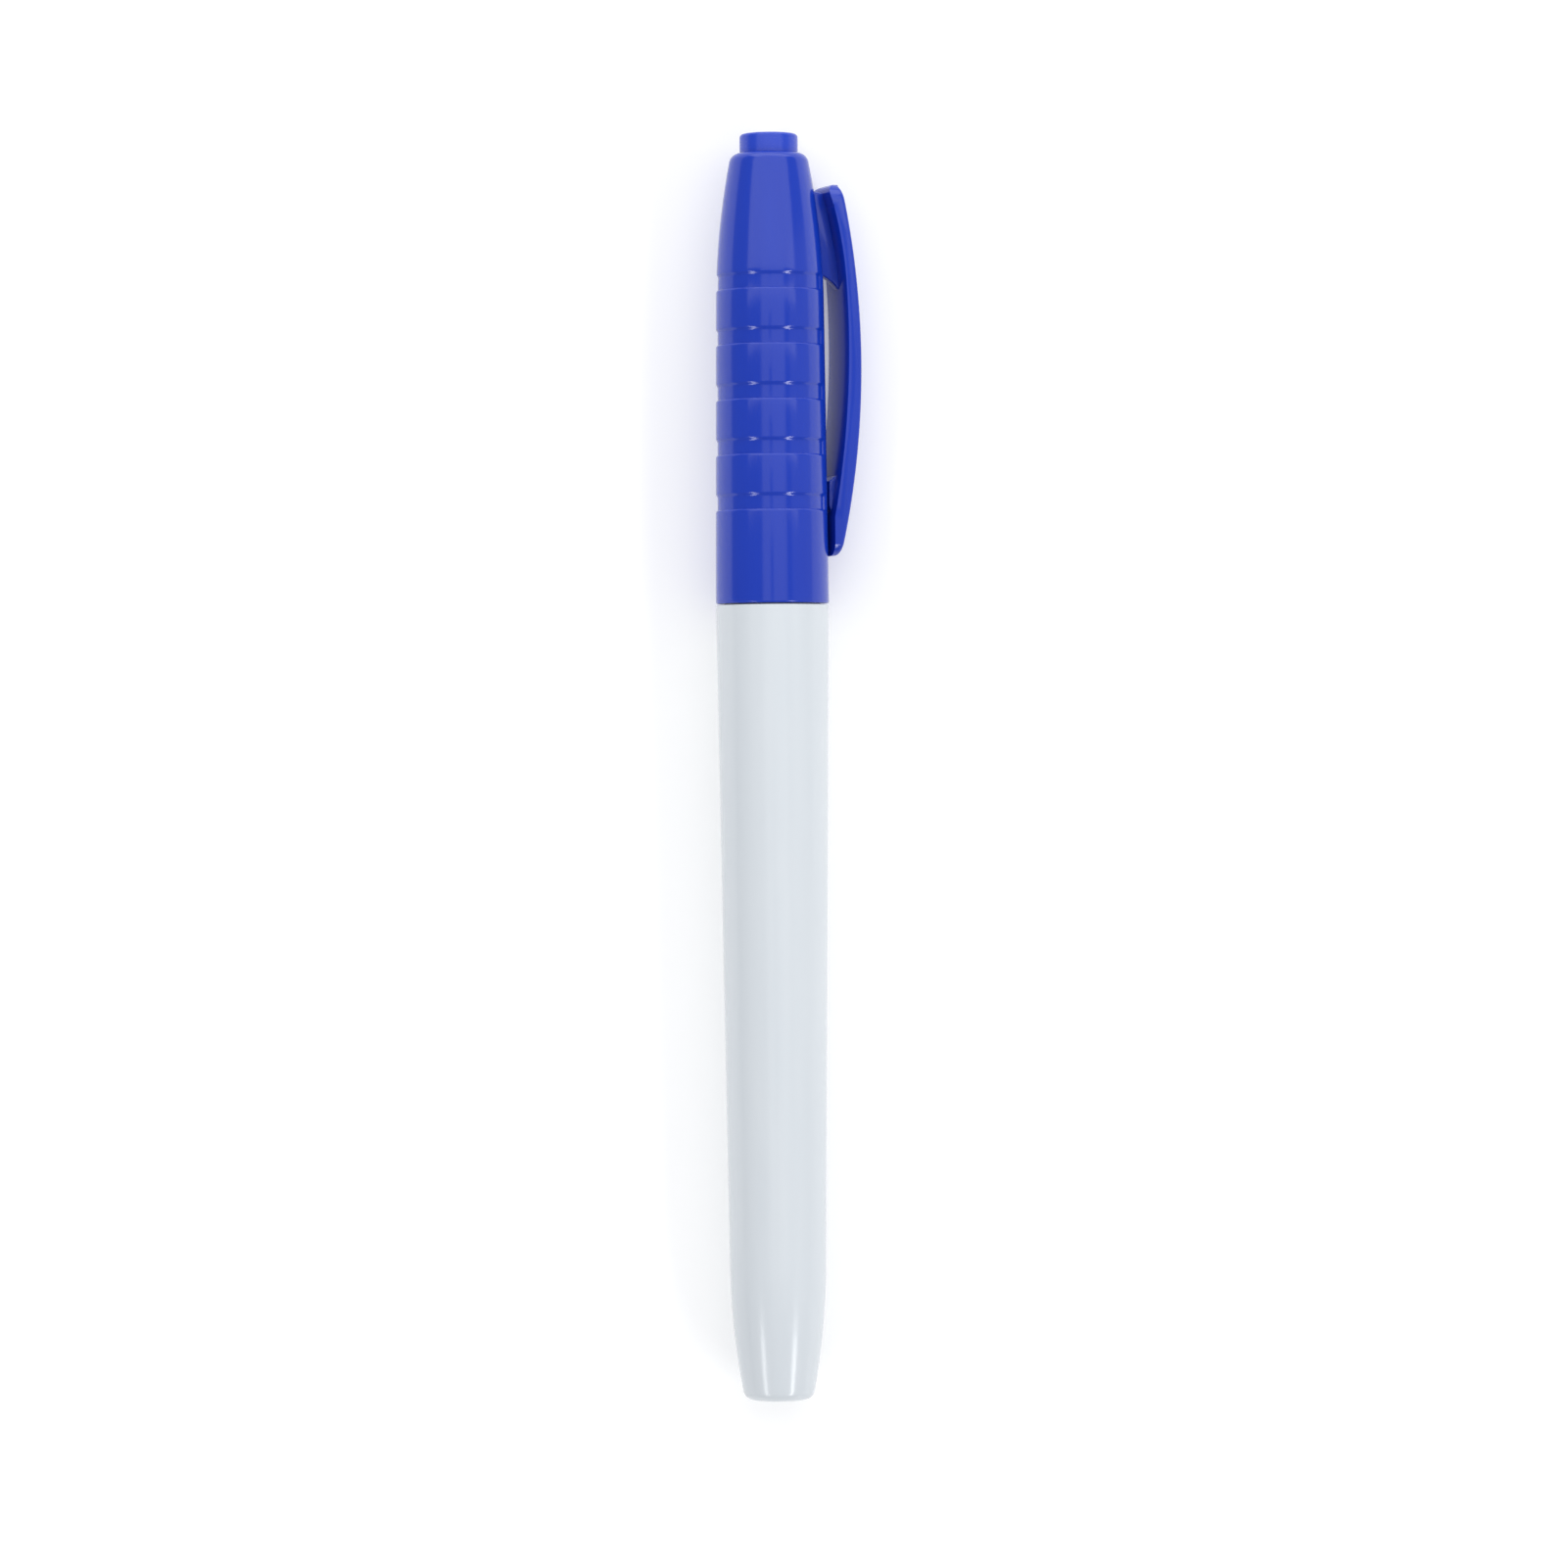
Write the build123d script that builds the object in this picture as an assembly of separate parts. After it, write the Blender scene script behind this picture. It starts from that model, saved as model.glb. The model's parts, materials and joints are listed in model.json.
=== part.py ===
from build123d import *

import os
from math import asin, atan2, cos, degrees, hypot, radians, sin, sqrt

# A capped fabric marking pen lying on a table, in millimetres. A "station" is a distance along the pen from
# the tail's end, and each solid is drawn with its axis on X. The clip is drawn pointing up, along +Z.

LENGTH = 138.0
FIT = 0.06            # radial gap of a running fit
CLEAR = 0.1           # gap between parts that pass each other
SEAT = 0.02           # gap between parts that are pressed together

# Barrel
SHOULDER = 86.6       # station where the barrel's outside ends and the neck begins
BARREL_R = 6.16
BARREL_DRAFT = 0.0126
TAIL_BEND = 14.5      # station where the straight draft turns into the tail's curve
TAIL_EDGE = (0.9, 3.90)
TAIL_FLAT_R = 2.95
SOCKET_R = 4.60       # barrel's mouth, which takes the front section's plug
SOCKET_DEPTH = 9.0
BORE_END = (9.5, 3.90)
FLOOR = 2.9           # thickness of the closed tail
RIB_SPAN = (12.0, 62.0)
RIB_WIDTH = 0.7
BARREL_RIBS = 4

# Ink reservoir and its film
RESERVOIR_R = 3.75
RESERVOIR_SPAN = (9.7, 88.0)
FILM = 0.10

# Front section and nib
NECK_R = 5.08
NECK_END = 95.2
NECK_CHAMFER = 0.5
BEAD_STATION = 91.0
BEAD_HEIGHT = 0.03
CONE = ((95.7, 4.15), (112.0, 2.85))
NOSE_R = 2.0
NOSE_END = 118.6
NIB_R = 1.0
NIB_BACK = 82.5
NIB_TIP = 124.5
VENT_WIDTH = 0.8

# Outer cap
MOUTH = 86.75
MOUTH_R = 6.18
CAP_DRAFT = 0.0086
CAP_BEND = 119.5      # station where the straight draft turns into the cap's long curve
CAP_SHOULDER = (134.95, 4.34)
CAP_TOP = 135.9
LIP = 0.2
CAP_BORE_R = NECK_R + FIT
CAP_WALL = 1.45       # thickness of the end that the nub comes through
GROOVES = 5
GROOVE_START = 96.95
GROOVE_PITCH = 6.0
GROOVE_WIDTH = 1.57
GROOVE_DEPTH = 0.18
GROOVE_FLANK = 0.5
PAD_HALF_ANGLE = 35.0  # the grooves stop at a smooth pad under the clip
CAP_RIBS = 6
CAP_RIB_SPAN = (103.0, 127.0)
CAP_RIB_WIDTH = 0.6

# Inner cap
NUB_R = 3.18
INNER_SEAT_R = 3.55
INNER_TUBE_R = 3.95
INNER_MOUTH = 104.3
INNER_BORE_R = 3.05
INNER_NECK = (127.5, 129.5)   # stations between which the tube narrows to its seat
NUB_CAVITY = ((131.8, INNER_BORE_R), (133.0, 2.4), (136.8, 2.3))
NUB_ROUND = 0.4

# Clip
CLIP_WIDTH = 6.1
OUTER_FACE = (113.0, 9.63, 88.0)    # the arch's highest station, its height there and its bend radius
INNER_FACE = (115.0, 8.03, 100.0)
INNER_BEND = 122.0    # station from which the inner face curves down more, as far as the clip's top
TOP_INSIDE_R = 5.63
CLIP_TIP = 91.95
CLIP_TOP = 132.55
CLIP_EDGE = 0.45      # rounding of the clip's outer edges
TIP_CORNER = 1.5
TOP_CORNER = 1.8
TOP_INNER_ROUND = 1.0
TIP_INSIDE_R = 6.24   # the inner face levels out here, beside the cap
ROOT = 0.6            # how far the web and the tooth reach into the band
WEB = 1.3
WEB_TOP = 131.87
WEB_SLANT = 0.2       # how much the web's top edge leans
WEB_FOOT = 122.75
WEB_END = 121.1
WEB_BEND = (122.2, 6.75)    # middle of the web's hollow lower edge
TOOTH_WIDTH = 3.0
TOOTH = (96.9, 100.75)
TOOTH_R = 6.18
HINGE = 120.0         # station where the clip bends
HINGE_GAP = 0.03
HINGE_STEP = 0.35     # clearance behind the hinge, for the bend


def barrel_r(station):
    return BARREL_R - BARREL_DRAFT * (SHOULDER - station)


def cap_r(station):
    return MOUTH_R - CAP_DRAFT * (station - MOUTH)


def clip_r(face, station):
    """Distance from the pen's axis to one of the clip's arched faces."""
    highest, height, bend_r = face
    return height - bend_r + sqrt(bend_r ** 2 - (station - highest) ** 2)


def clip_arc(face, start, end):
    middle = (start + end) / 2
    return ThreePointArc(*[(s, clip_r(face, s)) for s in (start, middle, end)])


def table_tilt():
    """Turn of the clip below level at which its edge rests on the table beside the cap's mouth."""
    along, across = OUTER_FACE[1] - CLIP_EDGE, CLIP_WIDTH / 2 - CLIP_EDGE
    lift = MOUTH_R - CLIP_EDGE - SEAT / 4
    return degrees(asin(lift / hypot(along, across)) - atan2(across, along))


def clip_reach(tilt):
    """How far the clip reaches sideways from the pen's axis."""
    along, across = OUTER_FACE[1] - CLIP_EDGE, CLIP_WIDTH / 2 - CLIP_EDGE
    return along * cos(radians(tilt)) + across * sin(radians(tilt)) + CLIP_EDGE


TILT = table_tilt()
AXIS_Y = (clip_reach(TILT) - MOUTH_R) / 2
AXIS_Z = MOUTH_R


def on_table(solid):
    """Moves a solid from the drawing position to where the pen lies, with the clip turned to -Y."""
    return Pos(-LENGTH / 2, AXIS_Y, AXIS_Z) * Rot(X=90 + TILT) * solid


def turned(*edges):
    """Solid of revolution about X of the closed outline."""
    return revolve(make_face(Curve() + list(edges)), Axis.X)


def turned_points(*points):
    return revolve(make_face(Polyline(*points, close=True)), Axis.X)


def side_face(outline):
    """The outline, drawn as (station, distance from the axis), stood up in the clip's middle plane."""
    return Plane.XZ * make_face(outline)


def ribs(count, span, low, high, width):
    """Lengthwise ribs round the axis, from radius low to radius high."""
    start, end = span
    rib = Pos((start + end) / 2, 0, (low + high) / 2) * Box(end - start, width, high - low)
    return [Rot(X=360 / count * (i + 0.5)) * rib for i in range(count)]


def barrel_outside():
    bend = (TAIL_BEND, barrel_r(TAIL_BEND))
    rim = (SHOULDER - LIP / 2, barrel_r(SHOULDER))
    return turned(
        Line((0, 0), (0, TAIL_FLAT_R)),
        ThreePointArc((0, TAIL_FLAT_R), (0.25, 3.50), TAIL_EDGE),
        TangentArc(bend, TAIL_EDGE, tangent=(-1, -BARREL_DRAFT)),
        Line(bend, rim),
        Line(rim, (SHOULDER, BARREL_R - LIP / 2)),
        Line((SHOULDER, BARREL_R - LIP / 2), (SHOULDER, 0)),
        Line((SHOULDER, 0), (0, 0)),
    )


def make_barrel():
    socket = SHOULDER - SOCKET_DEPTH
    bore = turned_points(
        (FLOOR, 0), (FLOOR, 3.2), (3.9, 3.7), BORE_END, (socket, SOCKET_R - SEAT),
        (socket, SOCKET_R), (SHOULDER + 1, SOCKET_R), (SHOULDER + 1, 0),
    )
    outside = barrel_outside()
    rib_set = ribs(BARREL_RIBS, RIB_SPAN, RESERVOIR_R + FILM + FIT, SOCKET_R, RIB_WIDTH)
    return (outside - bore) + [outside & rib for rib in rib_set]


def make_reservoir():
    start, end = RESERVOIR_SPAN
    core = Pos((start + end) / 2, 0, 0) * Rot(Y=90) * Cylinder(RESERVOIR_R, end - start)
    nib_hole = Pos((NIB_BACK + end) / 2, 0, 0) * Rot(Y=90) * Cylinder(NIB_R + SEAT, end - NIB_BACK)
    return core - nib_hole


def make_film():
    start, end = RESERVOIR_SPAN
    inner = RESERVOIR_R + SEAT / 2
    return turned_points((start, inner), (start, inner + FILM), (end, inner + FILM), (end, inner))


def make_front_section():
    plug_r = SOCKET_R - SEAT
    (cone_start, cone_r), (cone_end, nose_base) = CONE
    body = turned_points(
        (SHOULDER - SOCKET_DEPTH + CLEAR, 0), (SHOULDER - SOCKET_DEPTH + CLEAR, plug_r - 0.2),
        (SHOULDER - SOCKET_DEPTH + 0.8, plug_r), (SHOULDER + SEAT, plug_r), (SHOULDER + SEAT, NECK_R),
        (BEAD_STATION - 0.4, NECK_R), (BEAD_STATION, NECK_R + BEAD_HEIGHT), (BEAD_STATION + 0.4, NECK_R),
        (NECK_END, NECK_R), (NECK_END + NECK_CHAMFER, NECK_R - NECK_CHAMFER), (cone_start, cone_r),
        (cone_end, nose_base), (cone_end + 0.6, NOSE_R), (NOSE_END - 0.6, NOSE_R - 0.25),
        (NOSE_END, NIB_R + 0.45), (NOSE_END, 0),
    )
    cup_end = RESERVOIR_SPAN[1] + CLEAR
    cup = turned_points(
        (0, 0), (0, RESERVOIR_R + FILM + FIT), (cup_end, RESERVOIR_R + FILM + FIT), (cup_end, 0)
    )
    nib_bore = Pos(LENGTH / 2, 0, 0) * Rot(Y=90) * Cylinder(NIB_R + SEAT, LENGTH)
    vents = ribs(2, (0, SHOULDER), plug_r - 0.3, plug_r + 1, VENT_WIDTH)
    return body - cup - nib_bore - vents


def make_nib():
    shoulder = NIB_TIP - 3.0
    return turned(
        Line((NIB_BACK, 0), (NIB_BACK, NIB_R)),
        Line((NIB_BACK, NIB_R), (shoulder, NIB_R)),
        ThreePointArc((shoulder, NIB_R), (shoulder + 1.8, 0.75), (NIB_TIP - 0.12, 0.3)),
        Line((NIB_TIP - 0.12, 0.3), (NIB_TIP, 0)),
        Line((NIB_TIP, 0), (NIB_BACK, 0)),
    )


def make_inner_cap():
    (cone_start, cone_r), (cone_end, nose_base) = CONE
    lip_r = cone_r - (INNER_MOUTH - cone_start) * (cone_r - nose_base) / (cone_end - cone_start)
    seat_end = CAP_TOP - CAP_WALL - FIT
    neck_start, neck_end = INNER_NECK
    round_mid = NUB_ROUND * (1 - sqrt(0.5))
    outside = turned(
        Polyline(
            (INNER_MOUTH, 0), (INNER_MOUTH, INNER_TUBE_R), (neck_start, INNER_TUBE_R - 0.1),
            (neck_end, INNER_SEAT_R), (seat_end, INNER_SEAT_R), (seat_end, NUB_R),
            (LENGTH - NUB_ROUND, NUB_R),
        ),
        ThreePointArc(
            (LENGTH - NUB_ROUND, NUB_R), (LENGTH - round_mid, NUB_R - round_mid),
            (LENGTH, NUB_R - NUB_ROUND),
        ),
        Polyline((LENGTH, NUB_R - NUB_ROUND), (LENGTH, 0), (INNER_MOUTH, 0)),
    )
    bore = turned_points(
        (INNER_MOUTH - 1, 0), (INNER_MOUTH - 1, lip_r + CLEAR + 0.08), (INNER_MOUTH, lip_r + CLEAR),
        (109.5, INNER_BORE_R + 0.1), *NUB_CAVITY, (NUB_CAVITY[-1][0], 0),
    )
    return outside - bore


def cap_outside():
    bend = (CAP_BEND, cap_r(CAP_BEND))
    lip = (MOUTH + LIP, cap_r(MOUTH + LIP))
    return turned(
        Line((MOUTH, 0), (MOUTH, MOUTH_R - LIP)),
        ThreePointArc((MOUTH, MOUTH_R - LIP), (MOUTH + 0.06, MOUTH_R - 0.06), lip),
        Line(lip, bend),
        TangentArc(bend, CAP_SHOULDER, tangent=(1, -CAP_DRAFT)),
        ThreePointArc(CAP_SHOULDER, (CAP_TOP - 0.3, 3.98), (CAP_TOP, 3.40)),
        Line((CAP_TOP, 3.40), (CAP_TOP, 0)),
        Line((CAP_TOP, 0), (MOUTH, 0)),
    )


def cap_bore():
    seat_r, hole_r = INNER_SEAT_R + FIT, NUB_R + FIT
    return turned_points(
        (MOUTH - 1, 0), (MOUTH - 1, CAP_BORE_R + 0.15), (MOUTH, CAP_BORE_R + 0.15),
        (MOUTH + 0.5, CAP_BORE_R), (BEAD_STATION - 0.6, CAP_BORE_R), (BEAD_STATION, CAP_BORE_R + 0.08),
        (BEAD_STATION + 0.6, CAP_BORE_R), (NECK_END + 1.1, CAP_BORE_R), (NECK_END + 1.6, CAP_BORE_R - 0.25),
        (120.0, 4.68), (126.5, 4.42), (130.4, 3.95), (130.8, seat_r), (CAP_TOP - CAP_WALL, seat_r),
        (CAP_TOP - CAP_WALL, hole_r), (CAP_TOP + 1, hole_r), (CAP_TOP + 1, 0),
    )


def groove(start):
    """One groove, with a sharp step towards the mouth and a sloping far flank. The pad interrupts it."""
    end, outside, half = start + GROOVE_WIDTH, MOUTH_R + 1, GROOVE_FLANK / 2
    outline = Polyline(
        (start, cap_r(start) - GROOVE_DEPTH), (end - half, cap_r(end) - GROOVE_DEPTH),
        (end + half, cap_r(end)), (end + half, outside), (start, outside), close=True,
    )
    pad_edge = 90 + PAD_HALF_ANGLE
    return revolve(Rot(X=pad_edge) * make_face(outline), Axis.X, 360 - 2 * PAD_HALF_ANGLE)


def make_outer_cap():
    shell = cap_outside() - cap_bore()
    for i in range(GROOVES):
        shell -= groove(GROOVE_START + i * GROOVE_PITCH)
    rib_set = ribs(CAP_RIBS, CAP_RIB_SPAN, INNER_TUBE_R + FIT, CAP_BORE_R, CAP_RIB_WIDTH)
    return shell + rib_set


def clip_band():
    """The clip's arched band, from its rounded tip to its rounded top."""
    highest, height, bend_r = INNER_FACE
    touch = highest - sqrt(bend_r ** 2 - (TIP_INSIDE_R - height + bend_r) ** 2)
    top_inside, bend = (CLIP_TOP, TOP_INSIDE_R), (INNER_BEND, clip_r(INNER_FACE, INNER_BEND))
    slope = (highest - INNER_BEND) / (bend[1] - height + bend_r)
    side = make_face(Curve() + [
        Line((CLIP_TIP, TIP_INSIDE_R), (CLIP_TIP, clip_r(OUTER_FACE, CLIP_TIP))),
        clip_arc(OUTER_FACE, CLIP_TIP, CLIP_TOP),
        Line((CLIP_TOP, clip_r(OUTER_FACE, CLIP_TOP)), top_inside),
        TangentArc(bend, top_inside, tangent=(1, slope)),
        clip_arc(INNER_FACE, INNER_BEND, touch),
        Line((touch, TIP_INSIDE_R), (CLIP_TIP, TIP_INSIDE_R)),
    ])
    side = fillet(side.vertices().sort_by_distance(top_inside)[0], TOP_INNER_ROUND)
    plan = Pos((CLIP_TIP + CLIP_TOP) / 2, 0) * Rectangle(CLIP_TOP - CLIP_TIP, CLIP_WIDTH)
    plan = fillet(plan.vertices().group_by(Axis.X)[0], TIP_CORNER)
    plan = fillet([v for v in plan.vertices() if v.X > CLIP_TOP - 0.01], TOP_CORNER)
    band = extrude(Plane.XZ * side, CLIP_WIDTH, both=True) & extrude(plan, 2 * height)
    outer_face = band.faces().sort_by(Axis.Z)[-1]
    return fillet(outer_face.edges(), CLIP_EDGE)


def clip_web():
    """The thin upright that joins the band's upper end to the cap."""
    foot, end = (WEB_FOOT, cap_r(WEB_FOOT)), (WEB_END, clip_r(INNER_FACE, WEB_END))
    in_cap, in_band = cap_r(WEB_FOOT) - 2, TOP_INSIDE_R + ROOT
    outline = Curve() + [
        Polyline((WEB_TOP + WEB_SLANT / 2, in_cap), (WEB_FOOT, in_cap), foot),
        ThreePointArc(foot, WEB_BEND, end),
        Polyline(
            end, (WEB_END, end[1] + ROOT), (WEB_TOP - WEB_SLANT, in_band), (WEB_TOP, 5.0),
            (WEB_TOP + WEB_SLANT / 2, in_cap),
        ),
    ]
    return extrude(side_face(outline), WEB / 2, both=True)


def clip_tooth():
    start, end = TOOTH
    start_r, end_r = clip_r(INNER_FACE, start), clip_r(INNER_FACE, end)
    outline = Polyline(
        (end, end_r + ROOT), (end, end_r), (end - 0.6, TOOTH_R + 0.05), (end - 1.1, TOOTH_R),
        (start + 0.5, TOOTH_R), (start, start_r), (start, start_r + ROOT), close=True,
    )
    return extrude(side_face(outline), TOOTH_WIDTH / 2, both=True)


def at_hinge():
    """Height of the middle of the clip's thickness at the hinge, and half that thickness."""
    inner, outer = clip_r(INNER_FACE, HINGE), clip_r(OUTER_FACE, HINGE)
    return (inner + outer) / 2, (outer - inner) / 2


def hinge_pin(radius):
    """Cylinder across the clip on the line about which it bends."""
    return Pos(HINGE, 0, at_hinge()[0]) * Rot(X=90) * Cylinder(radius, 2 * CLIP_WIDTH)


def beyond(station):
    """Everything from the station towards the cap's top."""
    return Pos(station + LENGTH / 2, 0, 0) * Box(LENGTH, LENGTH, LENGTH)


def make_clip_root():
    upper = clip_band() & beyond(HINGE + HINGE_STEP)
    pocket = hinge_pin(at_hinge()[1] + HINGE_GAP)
    return upper + clip_web() - pocket - cap_outside()


def make_clip_arm():
    band = clip_band()
    lower = band - beyond(HINGE)
    knuckle = band & hinge_pin(at_hinge()[1] - SEAT / 4)
    return lower + knuckle + clip_tooth()


PARTS = {
    "barrel": make_barrel,
    "front_section": make_front_section,
    "nib": make_nib,
    "ink_reservoir": make_reservoir,
    "reservoir_film": make_film,
    "inner_cap": make_inner_cap,
    "outer_cap": make_outer_cap,
    "clip_root": make_clip_root,
    "clip_arm": make_clip_arm,
}

os.makedirs("parts", exist_ok=True)
for name, make in PARTS.items():
    export_step(on_table(make()), f"parts/{name}.step")
hinge_line = on_table(Location((HINGE, 0, at_hinge()[0])))
print("clip tilt", TILT, "axis at y, z", AXIS_Y, AXIS_Z, "clip hinge", hinge_line.position)
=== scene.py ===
import json
from itertools import pairwise
from math import acos, atan2, cos, hypot, pi, radians, sin, sqrt, tan

import bpy
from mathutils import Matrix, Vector


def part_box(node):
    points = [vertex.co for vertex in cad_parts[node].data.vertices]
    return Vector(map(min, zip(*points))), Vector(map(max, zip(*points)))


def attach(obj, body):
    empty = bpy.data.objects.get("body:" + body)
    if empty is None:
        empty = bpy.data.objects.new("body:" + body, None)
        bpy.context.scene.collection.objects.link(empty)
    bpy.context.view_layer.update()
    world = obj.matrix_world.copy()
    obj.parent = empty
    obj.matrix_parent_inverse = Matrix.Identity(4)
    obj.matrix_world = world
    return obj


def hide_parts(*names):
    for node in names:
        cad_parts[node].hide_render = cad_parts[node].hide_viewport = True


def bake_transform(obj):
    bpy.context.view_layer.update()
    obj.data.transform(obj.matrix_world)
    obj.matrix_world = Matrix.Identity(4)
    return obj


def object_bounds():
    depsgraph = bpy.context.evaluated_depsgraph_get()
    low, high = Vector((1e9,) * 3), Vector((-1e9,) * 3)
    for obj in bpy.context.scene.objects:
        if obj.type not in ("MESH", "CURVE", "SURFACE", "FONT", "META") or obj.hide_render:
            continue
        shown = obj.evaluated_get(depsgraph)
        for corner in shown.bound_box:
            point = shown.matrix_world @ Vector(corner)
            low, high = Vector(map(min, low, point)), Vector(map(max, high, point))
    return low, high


# A capped fabric marking pen, lying on a pale table. Each piece is modelled in millimetres with the pen's
# axis on X and the clip pointing up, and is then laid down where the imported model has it. A station is a
# distance along the pen from the tail's end. Outlines are lists of (station, radius), and a third number
# is the rounding of that corner.

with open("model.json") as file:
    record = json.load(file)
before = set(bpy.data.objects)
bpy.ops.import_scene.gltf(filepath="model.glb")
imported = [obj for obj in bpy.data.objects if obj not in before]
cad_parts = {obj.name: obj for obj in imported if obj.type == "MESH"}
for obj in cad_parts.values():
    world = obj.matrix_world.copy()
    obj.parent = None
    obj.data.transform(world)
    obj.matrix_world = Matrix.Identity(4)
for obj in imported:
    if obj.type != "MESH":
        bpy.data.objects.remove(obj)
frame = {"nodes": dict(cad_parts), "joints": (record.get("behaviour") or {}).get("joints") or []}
bpy.context.view_layer.update()
CAD_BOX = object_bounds()
JOINTS = {joint["name"]: joint for joint in frame["joints"]}
MM = 0.001

# Where the pen lies
TAIL_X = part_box("barrel")[0].x
AXIS_Y, AXIS_Z = JOINTS["cap_twist"]["pos_m"][1:]
TILT = atan2(-JOINTS["clip_flex"]["axis"][1], JOINTS["clip_flex"]["axis"][2])


def ends(node):
    """A node's first and last station."""
    return [(corner.x - TAIL_X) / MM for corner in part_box(node)]


# Sizes in millimetres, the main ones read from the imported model
SHOULDER = ends("barrel")[1]
MOUTH, CAP_TOP = ends("outer_cap")
INNER_MOUTH, NUB_TOP = ends("inner_cap")
CLIP_TIP, CLIP_TOP = ends("clip_arm")[0], ends("clip_root")[1]
NIB_BACK, NIB_TIP = ends("nib")
MOUTH_R = (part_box("outer_cap")[1].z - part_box("outer_cap")[0].z) / 2 / MM
FIT = 0.06             # gap between parts that turn or slide on each other

BARREL_R = 6.16
BARREL_DRAFT = 0.0126
TAIL_BEND = 14.5       # station where the straight draft turns into the tail's curve
TAIL_FACE = (0, 2.95)  # rim of the tail's flat end
TAIL_CURL = (0.25, 3.50)
TAIL_EDGE = (0.9, 3.90)
TAIL_GATE = ((0.06, 0), (0.06, 0.35, 0.02), (0.14, 0.42, 0.02), (0.14, 0.80, 0.04), (0, 0.92, 0.04))
BARREL_INSIDE = ((9.5, 3.9, 0.2), (3.9, 3.7, 0.4), (2.9, 3.2, 0.2), (2.9, 0))
SOCKET_R = 4.60
SOCKET_DEPTH = 9.0

PLUG_R = 4.58
PLUG_GAP = 0.1         # from the plug's end to the bottom of its socket
PLUG_LEAD = 0.2        # taper at the plug's end, over PLUG_LEAD_LENGTH
PLUG_LEAD_LENGTH = 0.7
SECTION_GAP = 0.02     # between the barrel's mouth and the front section
SECTION_BORE_R = 3.91
SECTION_BORE_END = 88.1
NECK_R = 5.08
NECK_END = 95.2
NECK_STEP = 0.5        # chamfer between the neck and the cone
BEAD = 91.0            # station of the ring that the cap clicks over
BEAD_HEIGHT = 0.03
BEAD_HALF = 0.4        # half the ring's width
CONE = ((95.7, 4.15), (112.0, 2.85))
NOSE_R = 2.0
NOSE_END = 118.6
NOSE_TIP = 0.6         # length of the nose's tapered tip
NIB_R = 1.0
NIB_FIT = 0.03
NIB_BULLET = 3.0       # length of the nib's rounded end

CAP_DRAFT = 0.0086
CAP_BEND = 119.5       # station where the straight draft turns into the cap's long curve
CAP_SHOULDER = (134.95, 4.34)
CAP_BORE_R = NECK_R + FIT
END_WALL = 1.45        # thickness of the cap's end, which the nub comes through
TUBE_R = 3.95
CAP_RIM = (CAP_TOP, 3.40)    # where the flat of the cap's end starts
CAP_CURL = (CAP_TOP - 0.3, 3.98)
BORE_SEAT = 130.8      # station where the cap's bore narrows to the inner cap's seat
BORE_THROAT = ((130.4, TUBE_R, 0.3), (126.5, 4.42, 0.5), (120.0, 4.68))
BORE_STEP = 0.25       # how far the bore steps in past the neck's end
BEAD_GROOVE = 0.08     # depth of the click groove in the bore
CLICK_HALF = 0.6       # half its width
NUB_R = 3.18
NUB_ROUND = 0.4
NUB_GATE = ((0, 0.95, 0.05), (0.12, 0.85, 0.04), (0.12, 0.45, 0.03), (0.05, 0.38, 0.02), (0.05, 0))
SEAT_R = 3.55          # inner cap where it sits in the outer cap
SEAT_START = 129.5
TUBE_END = 127.5
TUBE_BORE_R = 3.05
TUBE_LIP_R = 3.58
TUBE_BORE = ((133.0, 2.4, 0.2), (131.8, TUBE_BORE_R, 0.3), (109.5, TUBE_BORE_R + 0.1))
NUB_WALL = 1.2
GROOVE_START = 96.95
GROOVE_PITCH = 6.0
GROOVES = 5
GROOVE_FLOOR = 1.32    # from the groove's step to the foot of its sloping flank
GROOVE_FLANK = 0.5
GROOVE_DEPTH = 0.18
STEP_ROUND = 0.30      # rounding of the step, which meets the floor before it is upright
PAD_ANGLE = radians(35.0)    # half the smooth pad under the clip
RUN_OUT = radians(4.0)       # turn over which a groove runs out into the pad

CLIP_WIDTH = 6.1
OUTER_FACE = (113.0, 9.63, 88.0)    # the arch's highest station, its height there and its bend radius
INNER_FACE = (115.0, 8.03, 100.0)
INNER_BEND = 122.0     # station from which the inner face curves down more, as far as the clip's top
TOP_INSIDE_R = 5.63
CLIP_EDGE = 0.45       # rounding of the clip's outer edges
INNER_EDGE = 0.12      # rounding of its inner edges
WEB_EDGE = 0.2         # rounding of the web's edges
TIP_CORNER = 1.5
TOP_CORNER = 1.8
TOP_INNER_ROUND = 1.0
TIP_INSIDE_R = 6.24
ROOT = 0.6             # how far the web and the tooth reach into the band
WEB = 1.3
WEB_TOP = 131.87
WEB_FOOT = 122.75
WEB_END = 121.1
WEB_BEND = (122.2, 6.75)     # middle of the web's hollow lower edge
TOOTH_WIDTH = 3.0
TOOTH = (96.9, 100.75)
TOOTH_R = 6.18

GROOVE_REACH = 5.5     # everything the grooves touch is further from the axis than this
TURN_STEPS = 192       # facets round a turned piece
CURVE_STEPS = 36       # facets along a long curve
WELD = 0.0004          # vertices closer than this are one
SHARP = 50.0           # degrees between faces from which an edge counts as sharp
SMOOTH = 30.0          # degrees up to which shading runs over an edge

# Sizes of the patterns in the plastic's skin and in the other materials, in millimetres
FLOW_MARK = 2.5
SINK_RIPPLE = 2.2
RIPPLE_HEIGHT = 0.004
SKIN_GRAIN = 0.12
GRAIN_HEIGHT = 0.0006
NIB_FIBRE = 0.08
CORE_FIBRE = 0.15
FILM_CREASE = 1.2
CREASE_HEIGHT = 0.02
TABLE_MOTTLE = 60.0

POLYPROPYLENE_IOR = 1.49
POLYETHYLENE_IOR = 1.51
TABLE_GLOW = 0.3       # light that comes through the table from below


# ---------------------------------------------------------------- outlines

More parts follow.
